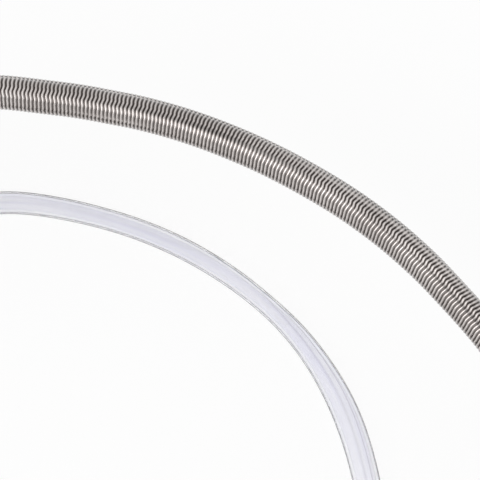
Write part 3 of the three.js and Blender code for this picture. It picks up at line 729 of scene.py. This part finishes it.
def make_tube():
    """The tube, with its coil in pieces of a turn each, cut between ribs."""
    line, (_, coil_start, ramp_start, outlet_start) = tube_line()
    ribs = round(line.length / TUBE["rib_pitch"])
    pitch = line.length / ribs
    turn = 2 * math.pi * COIL["radius"] / pitch
    cuts = [0, round(coil_start / pitch)]
    while cuts[-1] + MOST_TURNS * turn < ramp_start / pitch:
        cuts.append(cuts[-1] + round(turn))
    cuts += [round((ramp_start + RAMP_CUT) / pitch), round(outlet_start / pitch), ribs]
    names = [(f"coil_turn_{number}", "coil_tube") for number in range(1, len(cuts) - 3)]
    names = [("inlet_riser_tube", "inlet_riser"), *names, ("ramp_tube", "outlet_ramp"),
             ("outlet_riser_tube", "outlet_riser")]
    for (name, node), low, high in zip(names, cuts, cuts[1:]):
        tube_piece(name, node, line, low, high, pitch)


# ---- Turned, pressed and moulded parts
def soften(profile, amount, closed):
    """A profile with small rounds at its corners."""
    result = []
    for i, point in enumerate(profile):
        here = np.array(point[:2], dtype=float)
        before = np.array(profile[i - 1][:2]) - here
        after = np.array(profile[(i + 1) % len(profile)][:2]) - here
        near, far = np.linalg.norm(before), np.linalg.norm(after)
        on_end = not closed and i in (0, len(profile) - 1)
        shaped = len(point) > 2 and callable(point[2])
        if on_end or shaped or abs(before @ after) > 0.93 * near * far:
            result.append(point)
            continue
        first = here + before / near * min(amount, 0.4 * near)
        last = here + after / far * min(amount, 0.4 * far)
        for place in (first, (first + last) / 4 + here / 2, last):
            result.append((*place, *point[2:]))
    return result


def turned(profile, sides=72, amount=0.2):
    """A piece turned about +Y, as (vertices, faces). Each point of its profile is
    (radius, y), and may carry flats, the width of the hexagon that it is cut to, or a
    function of the angle, radius and y that gives the ring's radii and distances. It
    starts and ends on the axis, or goes round a ring."""
    closed = profile[0][0] > 0
    points = soften(profile, amount, closed)
    angle = 2 * math.pi * np.arange(sides) / sides
    lean = np.mod(angle, math.pi / 3) - math.pi / 6
    vertices, rings = [], []
    for point in points:
        radius, along = np.full(sides, float(point[0])), np.full(sides, float(point[1]))
        if len(point) > 2 and callable(point[2]):
            radius, along = point[2](angle, radius, along)
        elif len(point) > 2:
            radius = np.minimum(radius, point[2] / 2 / np.cos(lean))
        if point[0] == 0:
            rings.append([len(vertices)] * sides)
            vertices.append((0.0, point[1], 0.0))
        else:
            rings.append([len(vertices) + i for i in range(sides)])
            vertices += zip(radius * np.cos(angle), along, radius * np.sin(angle))
    faces = []
    for low, high in zip(rings, rings[1:] + rings[:1] if closed else rings[1:]):
        for i in range(sides):
            j = (i + 1) % sides
            corners = dict.fromkeys((low[i], low[j], high[j], high[i]))
            if len(corners) > 2:
                faces.append(tuple(corners))
    return np.array(vertices), faces


def hexagon(flats, start, end):
    """The outside of a nut: a hexagon whose corners are turned off at both ends."""
    corner, turned_off = flats / math.sqrt(3), 0.478 * flats
    slope = math.tan(math.radians(30))

    def edge(way):
        def where(angle, radius, y):
            across = flats / 2 / np.cos(np.mod(angle, math.pi / 3) - math.pi / 6)
            return across, y + way * slope * (across - turned_off)
        return where

    low = [(turned_off - 0.25, start), (turned_off, start + 0.1), (corner, start, edge(1)),
           (corner, start + 0.15, edge(1))]
    high = [(corner, end - 0.15, edge(-1)), (corner, end, edge(-1)), (turned_off, end - 0.1),
            (turned_off - 0.25, end)]
    return low + high


def thread(diameter, start, end, pitch, depth):
    """A row of V grooves between two distances."""
    count = max(1, round(abs(end - start) / pitch))
    step = (end - start) / count
    points = []
    for k in range(count):
        points += [(diameter / 2 - depth, start + step * (k + 0.1)),
                   (diameter / 2, start + step * (k + 0.5)),
                   (diameter / 2 - depth, start + step * (k + 0.9))]
    return points


def prism(outline, low, high, bevel):
    """An outline in X and Y drawn up from one height to another, with bevelled edges."""
    bm = bmesh.new()
    face = bm.faces.new([bm.verts.new((x, y, low)) for x, y in outline])
    top = bmesh.ops.extrude_face_region(bm, geom=[face])["geom"]
    bmesh.ops.translate(bm, vec=(0, 0, high - low),
                        verts=[g for g in top if isinstance(g, bmesh.types.BMVert)])
    bmesh.ops.recalc_face_normals(bm, faces=bm.faces)
    edges = [e for e in bm.edges if e.calc_face_angle(0.0) > math.radians(40)]
    bmesh.ops.bevel(bm, geom=edges, offset=bevel, segments=2, profile=0.5, affect="EDGES",
                    clamp_overlap=True)
    bm.verts.index_update()
    vertices = np.array([v.co[:] for v in bm.verts])
    faces = [tuple(v.index for v in f.verts) for f in bm.faces]
    bm.free()
    return vertices, faces


def moved(part, matrix):
    vertices, faces = part
    matrix = np.array(matrix)
    return vertices @ matrix[:3, :3].T + matrix[:3, 3], faces


def solid(name, parts, matrix, finish, node, body="chiller", sharp=28.0):
    """One piece from closed parts in a local frame, which stands for one solid."""
    vertices, faces = [], []
    for part_vertices, part_faces in parts:
        start = sum(len(v) for v in vertices)
        vertices.append(part_vertices)
        faces += [tuple(start + i for i in face) for face in part_faces]
    mesh = mesh_from(name, *moved((np.vstack(vertices), faces), matrix))
    face_outward(mesh, sharp)
    return link(name, mesh, finish, (node,), body)


def placed(x=0.0, y=0.0, z=0.0, turn=0.0):
    """A local frame at a point, turned about Z by degrees."""
    return np.array(Matrix.Translation((x, y, z)) @ Matrix.Rotation(math.radians(turn), 4, "Z"))


SCREW = dict(diameter=4.0, head=7.6, head_height=2.4, tip=1.2, socket=2.5, socket_depth=1.3)
NUT = dict(flats=7.0, height=3.2)


def pan_screw(length):
    """A socket pan-head screw along +Y: the underside of its head is at 0."""
    r, top = SCREW["diameter"] / 2, SCREW["head_height"]
    head, socket = SCREW["head"] / 2, SCREW["socket"]
    floor = top - SCREW["socket_depth"]
    threads = thread(2 * r, -length + 0.3, -length + 6.3, 0.7, 0.28)
    return turned([(0, -length), (r - 0.5, -length), *threads, (r, -length + 6.6), (r, 0),
                   (head, 0), (head, 0.9), (head * 0.93, 1.6), (head * 0.7, top),
                   (0.6 * socket, top, socket), (0.6 * socket, floor, socket),
                   (0, floor - 0.3)], 48, 0.12)


def hex_nut():
    """A nut along +Y from 0."""
    bore = SCREW["diameter"] / 2 + CLEARANCE
    height = NUT["height"]
    inside = [(bore + 0.3, height), (bore, height - 0.35), (bore, 0.35), (bore + 0.3, 0)]
    return turned(hexagon(NUT["flats"], 0, height) + inside, 48, 0.1)


# ---- Strips
STRIP_SIZE = dict(thickness=2.0, width=12.0, over=4.0)
STATIONS = (60, 150, 240, 330)
STRIP_INNER = COIL["radius"] - TUBE["diameter"] / 2 - CLEARANCE - STRIP_SIZE["thickness"]
STRIP_OUTER = COIL["radius"] + TUBE["diameter"] / 2 + CLEARANCE


def strip_bar(start, height):
    """A flat bar on end with its top corners rounded, from a distance along Y."""
    half, corner = STRIP_SIZE["width"] / 2, 3.0
    right = [(half - corner + corner * math.cos(a), height - corner + corner * math.sin(a))
             for a in np.radians(range(0, 91, 15))]
    outline = [(-half, 0), (half, 0), *right, *((-x, z) for x, z in reversed(right))]
    vertices, faces = prism(outline, 0, STRIP_SIZE["thickness"], 0.25)
    return np.stack([vertices[:, 0], start + vertices[:, 2], vertices[:, 1]], axis=1), faces


def make_strips():
    for number, station in enumerate(STATIONS, 1):
        here = placed(turn=-station)
        turns = [coil_height(a) for a in np.arange(station, COIL["end"] + 0.001, 360)
                 if a >= COIL["start"]]
        height = turns[-1] + TUBE["diameter"] / 2 + STRIP_SIZE["over"]
        for which, start in (("inner", STRIP_INNER), ("outer", STRIP_OUTER)):
            name = f"{which}_strip_{number}"
            solid(f"{name}_bar", [strip_bar(start, height)], here, STRIP, name)
        seat = STRIP_OUTER + STRIP_SIZE["thickness"] + CLEARANCE
        tip = STRIP_INNER - CLEARANCE - NUT["height"] - SCREW["tip"]
        for level, low, high in (("low", *turns[:2]), ("high", *turns[-2:])):
            z = (low + high) / 2
            at_screw = here @ placed(y=seat, z=z)
            at_nut = here @ placed(y=STRIP_INNER - CLEARANCE, z=z, turn=180.0)
            solid(f"strip_{number}_{level}_screw", [pan_screw(seat - tip)], at_screw, FASTENER,
                  f"strip_screw_{number}_{level}")
            solid(f"strip_{number}_{level}_nut", [hex_nut()], at_nut, FASTENER,
                  f"strip_nut_{number}_{level}")


# ---- The block that holds the two risers apart
BLOCK = dict(height=20.0, depth=9.0, overhang=14.0, z=340.0, inset=20.0, half_gap=0.6)
INLET_FOOT = (170.899, -34.520)
OUTLET_FOOT = (184.865, 36.294)


def make_riser_clamp():
    (ax, ay), (bx, by) = INLET_FOOT, OUTLET_FOOT
    length = math.hypot(bx - ax, by - ay)
    middle = placed((ax + bx) / 2, (ay + by) / 2, BLOCK["z"],
                    math.degrees(math.atan2(by - ay, bx - ax)))
    gap, groove = BLOCK["half_gap"], TUBE["diameter"] / 2 + CLEARANCE
    face = gap + BLOCK["depth"]
    reach = length / 2 + BLOCK["overhang"]
    lift = math.asin(gap / groove)
    edge = [(x - groove * math.cos(a), groove * math.sin(a)) for x in (-length / 2, length / 2)
            for a in np.linspace(lift, math.pi - lift, 17)]
    outline = [(-reach, gap), *edge, (reach, gap), (reach, face), (-reach, face)]
    half = prism(outline, -BLOCK["height"] / 2, BLOCK["height"] / 2, 0.8)
    solid("riser_block_outer", [half], middle, NYLON, "riser_clamp_outer_half")
    solid("riser_block_inner", [half], middle @ placed(turn=180.0), NYLON,
          "riser_clamp_inner_half")
    seat = face + CLEARANCE
    for number, x in enumerate((BLOCK["inset"] - length / 2, length / 2 - BLOCK["inset"]), 1):
        screw = pan_screw(seat + NUT["height"] + SCREW["tip"] + seat)
        solid(f"riser_block_screw_{number}", [screw], middle @ placed(x=x, y=-seat, turn=180.0),
              FASTENER, f"riser_clamp_screw_{number}")
        solid(f"riser_block_nut_{number}", [hex_nut()], middle @ placed(x=x, y=seat), FASTENER,
              f"riser_clamp_nut_{number}")


# ---- Ports
BARB = dict(core=4.0, crest=4.8, length=22.0, bore=2.6)


def barb(start, to_tip):
    """Three ridges that slope to the tip."""
    def at(share):
        return start + to_tip * BARB["length"] * share
    points = [(BARB["core"] / 2, at(0))]
    for share in (0.4, 0.66, 0.92):
        points += [(BARB["core"] / 2, at(share - 0.02)), (BARB["crest"] / 2, at(share)),
                   (BARB["core"] / 2, at(min(share + 0.1, 1)))]
    return points


def ring(inner, outer, start, end):
    return turned([(inner, start), (outer, start), (outer, end), (inner, end)])


def retaining_ring():
    """A ring of flattened wire in the last valley of the tube."""
    middle, half_thick, half_wide = 6.4, 1.1, 0.7
    profile = [(middle + half_thick * math.cos(a), -3.3 + half_wide * math.sin(a))
               for a in np.linspace(0, 2 * math.pi, 17)[:-1]]
    return turned(profile, 72, 0.0)


def make_port(which, foot):
    here = placed(foot[0] + RISER["port_reach"], foot[1], RISER["port_height"], -90.0)
    bore = BARB["bore"] / 2
    tail = turned([(bore, 2.6), *thread(16.6, 2.6, 11.6, 1.0, 0.5), (7.5, 11.9), (7.5, 14.6),
                   *hexagon(19.0, 14.5, 19.5), (3.2, 19.5), *barb(19.9, 1), (bore, 41.5)], 72, 0.15)
    nut = turned([*hexagon(21.0, -6.9, 12.3), (8.9, 12.3),
                  *reversed(thread(17.8, -4.0, 11.9, 1.0, 0.3)), (8.6, -4.3), (5.3, -4.3),
                  (5.3, -6.9)], 72, 0.15)
    solid(f"{which}_ring", [retaining_ring()], here, FASTENER, f"{which}_retaining_ring")
    solid(f"{which}_seal", [ring(3.2, 7.7, 0.3, 2.3)], here, RUBBER, f"{which}_gasket")
    solid(f"{which}_barb", [tail], here, PLATED, f"{which}_hose_barb")
    solid(f"{which}_nut", [nut], here, PLATED, f"{which}_union_nut", f"{which}_union")
    return here


def notched(angle, radius, y):
    """A band with the slots that a worm runs in, on the half away from the housing."""
    slot = (np.mod(angle * 60 / math.pi, 5) < 2) & (abs(y) < 2.3)
    clear = np.abs(np.mod(angle - math.pi / 2 + math.pi, 2 * math.pi) - math.pi) > 0.9
    return radius - np.where(slot & clear, 0.3, 0.0), y


def housing(angle, radius, y):
    """The rounded box over the worm, as distances from the worm's axis. The radius given
    is how far the ring is drawn in from the full box."""
    across, upward = np.abs(np.cos(angle)) / 3.5, np.abs(np.sin(angle)) / 2.78
    return (across ** 5 + upward ** 5) ** (-0.2) - radius, y


def make_clamp(which, here):
    """A hose clamp: a band with the box on it, and the worm screw in the box."""
    rows = [(4.4, -2.5), (4.4, -2.29, notched), (4.4, 2.29, notched), (4.4, 2.5)]
    band = turned([(3.8, -3.5), (4.4, -3.5), *rows, (4.4, 3.5), (3.8, 3.5)], 120, 0.12)
    across = np.array(Matrix.Rotation(math.radians(90), 4, "Z"))
    ends = [(0.42, 5.0, housing), (0.12, 4.88, housing), (0.001, 4.55, housing)]
    box = turned([(2.2, -5.0), *((r, -y, f) for r, y, f in ends), *reversed(ends), (2.2, 5.0)],
                 72, 0.1)
    solid(f"{which}_band", [band, moved(box, placed(z=6.85) @ across)], here, FASTENER,
          f"{which}_hose_clamp")
    worm = [(0, -5.2), (1.6, -5.2), *thread(3.8, -5.0, 4.6, 1.2, 0.35), (1.7, 5.3),
            (3.0, 5.3, 5.4), (3.0, 7.5, 5.4), (2.5, 7.7, 5.4), (0, 7.7)]
    screw = moved(slotted(turned(worm, 72, 0.15), 6.8, 1.0), placed(z=6.9) @ across)
    solid(f"{which}_worm_screw", [screw], here, FASTENER, f"{which}_hose_clamp_screw",
          f"{which}_worm")


def slotted(part, floor, width):
    """A screwdriver slot across the head of a part, down to a distance along Y."""
    outline = [(-6, floor), (6, floor), (6, floor + 5), (-6, floor + 5)]
    pair = []
    for name, shape in (("target", part), ("cutter", prism(outline, -width / 2, width / 2, 0.01))):
        mesh = mesh_from(name, *shape)
        face_outward(mesh)
        pair.append(bpy.data.objects.new(name, mesh))
        scene.collection.objects.link(pair[-1])
    target, cutter = pair
    modifier = target.modifiers.new("slot", "BOOLEAN")
    modifier.operation, modifier.object, modifier.solver = "DIFFERENCE", cutter, "EXACT"
    graph = bpy.context.evaluated_depsgraph_get()
    mesh = bpy.data.meshes.new_from_object(target.evaluated_get(graph))
    vertices = np.array([v.co[:] for v in mesh.vertices]) / MM
    faces = [tuple(f.vertices) for f in mesh.polygons]
    for piece in pair:
        bpy.data.objects.remove(piece, do_unlink=True)
    return vertices, faces


# ---- Tap connector
TAP = (-62.0, -126.0, 15.3)


def make_tap():
    here = placed(*TAP, turn=90.0)
    bore = BARB["bore"] / 2
    tail = turned([(bore, -22.0), *reversed(barb(0.0, -1)), (6.5, 0.0), (6.5, 3.2), (5.0, 3.2),
                   (5.0, 8.4), (11.7, 8.4), (11.7, 11.2), (bore + 1.2, 11.2), (bore, 9.8)], 96)
    nut = turned([*hexagon(30.0, 4.1, 21.5), (12.7, 21.5),
                  *reversed(thread(25.3, 12.0, 21.0, 1.8, 0.6)), (12.1, 11.5), (12.1, 8.1),
                  (5.3, 8.1), (5.3, 4.1)], 96)
    solid("tap_tail", [tail], here, BRASS, "tap_connector_tail")
    solid("tap_nut", [nut], here, BRASS, "tap_connector_nut", "tap_nut")
    solid("tap_washer", [ring(7.0, 11.7, 11.5, 14.0)], here, RUBBER, "tap_connector_washer")
    make_clamp("tap", here @ placed(y=-9.5))


# ---- Ties round the stored turns
TIE = dict(thickness=1.0, slack=0.8, lift=0.1, corner=2.6, angles=(20, 290))
# The strap's section: across it, and outward from its inner face.
STRAP_SECTION = [(-4.0, 0.15), (-4.0, 0.85), (-3.6, 1.0), (3.6, 1.0), (4.0, 0.85), (4.0, 0.15),
                 (3.6, 0.0), (-3.6, 0.0)]


def make_tie(number, clock):
    """A strap round all the strands of the stored hose at a clock angle of its coil."""
    first = ((clock - PILE["start"] + 360) % 360) / 360
    strands = [pile_at(turns) for turns in np.arange(first, PILE["turns"] + 1e-9, 1)]
    reach = HOSE["diameter"] / 2 + TIE["slack"]
    corner = TIE["corner"]
    near = min(r for r, _ in strands) - reach + corner
    far = max(r for r, _ in strands) + reach - corner
    bottom = TIE["lift"] + TIE["thickness"] + corner
    top = max(z for _, z in strands) + HOSE["diameter"] / 2 + CLEARANCE - corner
    vertices = []
    corners = (far, top, 0), (near, top, 90), (near, bottom, 180), (far, bottom, 270)
    for r, z, start in corners:
        for angle in np.radians(np.arange(start, start + 91, 15)):
            cos, sin = math.cos(angle), math.sin(angle)
            vertices += [(across, r + (corner + out) * cos, z + (corner + out) * sin)
                         for across, out in STRAP_SECTION]
    sides = len(STRAP_SECTION)
    rings = len(vertices) // sides
    steps = (0, 0), (0, 1), (1, 1), (1, 0)
    faces = [tuple((k + a) % rings * sides + (i + b) % sides for a, b in steps)
             for k in range(rings) for i in range(sides)]
    return solid(f"tie_{number}", [(np.array(vertices), faces)],
                 placed(PILE["x"], PILE["y"], 0, -clock), STRAP, f"hose_tie_{number}", sharp=50.0)


# ---- Floor and light
# The floor and the world are white to the eye and in reflections: shares of white, where
# the rest is the floor's own shade, and how strongly the world lights the object.
FLOOR_GLOW = 0.93
WORLD_FILL = 0.55
FLOOR_REACH = 6000.0
FLOOR_DROP = 0.2  # how far it lies below the feet


def make_floor():
    r = FLOOR_REACH
    mesh = mesh_from("floor", [(-r, -r, 0), (r, -r, 0), (r, r, 0), (-r, r, 0)], [(0, 1, 2, 3)])
    floor = bpy.data.objects.new("floor", mesh)
    scene.collection.objects.link(floor)
    floor.location.z = -FLOOR_DROP * MM
    n = Nodes("floor_white")
    n.set(Base_Color=(0.92, 0.92, 0.92, 1), Roughness=1.0, Specular_IOR_Level=0.0)
    glow = n.add("ShaderNodeEmission", {"Color": (1, 1, 1, 1)}).outputs[0]
    white = n.maths("MULTIPLY", n.seen(), FLOOR_GLOW)
    mix = n.add("ShaderNodeMixShader", {0: white, 1: n.shader.outputs[0], 2: glow})
    n.put(n.tree.nodes["Material Output"].inputs["Surface"], mix.outputs[0])
    mesh.materials.append(n.material)


def make_world():
    scene.world = bpy.data.worlds.new("studio")
    n = Nodes("studio", scene.world)
    n.set(Color=(1, 1, 1, 1), Strength=n.scaled(n.seen(), WORLD_FILL, 1.0))


def lamp(name, at, towards, size, power):
    """A round lamp in metres and watts, which the camera doesn't see."""
    data = bpy.data.lights.new(name, "AREA")
    data.shape, data.size, data.energy = "DISK", size, power
    light = bpy.data.objects.new(name, data)
    scene.collection.objects.link(light)
    light.location = at
    direction = Vector(towards) - Vector(at)
    light.rotation_mode = "QUATERNION"
    light.rotation_quaternion = direction.to_track_quat("-Z", "Y")
    light.visible_camera = False


def make_lights():
    lamp("over_the_axis", (0, 0, 0.67), (0, 0, 0), 0.32, 0.22)
    lamp("key", (-1.5, 0.2, 2.2), (0.05, 0, 0.1), 2.6, 31.0)
    lamp("fill", (2.2, 0.5, 1.1), (0.05, 0, 0.15), 2.4, 12.0)


hose, hose_path, hose_length = make_hose()
make_tube()
make_strips()
make_riser_clamp()
make_clamp("inlet", make_port("inlet", INLET_FOOT) @ placed(y=29.0))
make_port("outlet", OUTLET_FOOT)
make_tap()
ties = [make_tie(number, clock) for number, clock in enumerate(TIE["angles"], 1)]
make_floor()
make_world()
make_lights()
scene.view_settings.view_transform = "Standard"
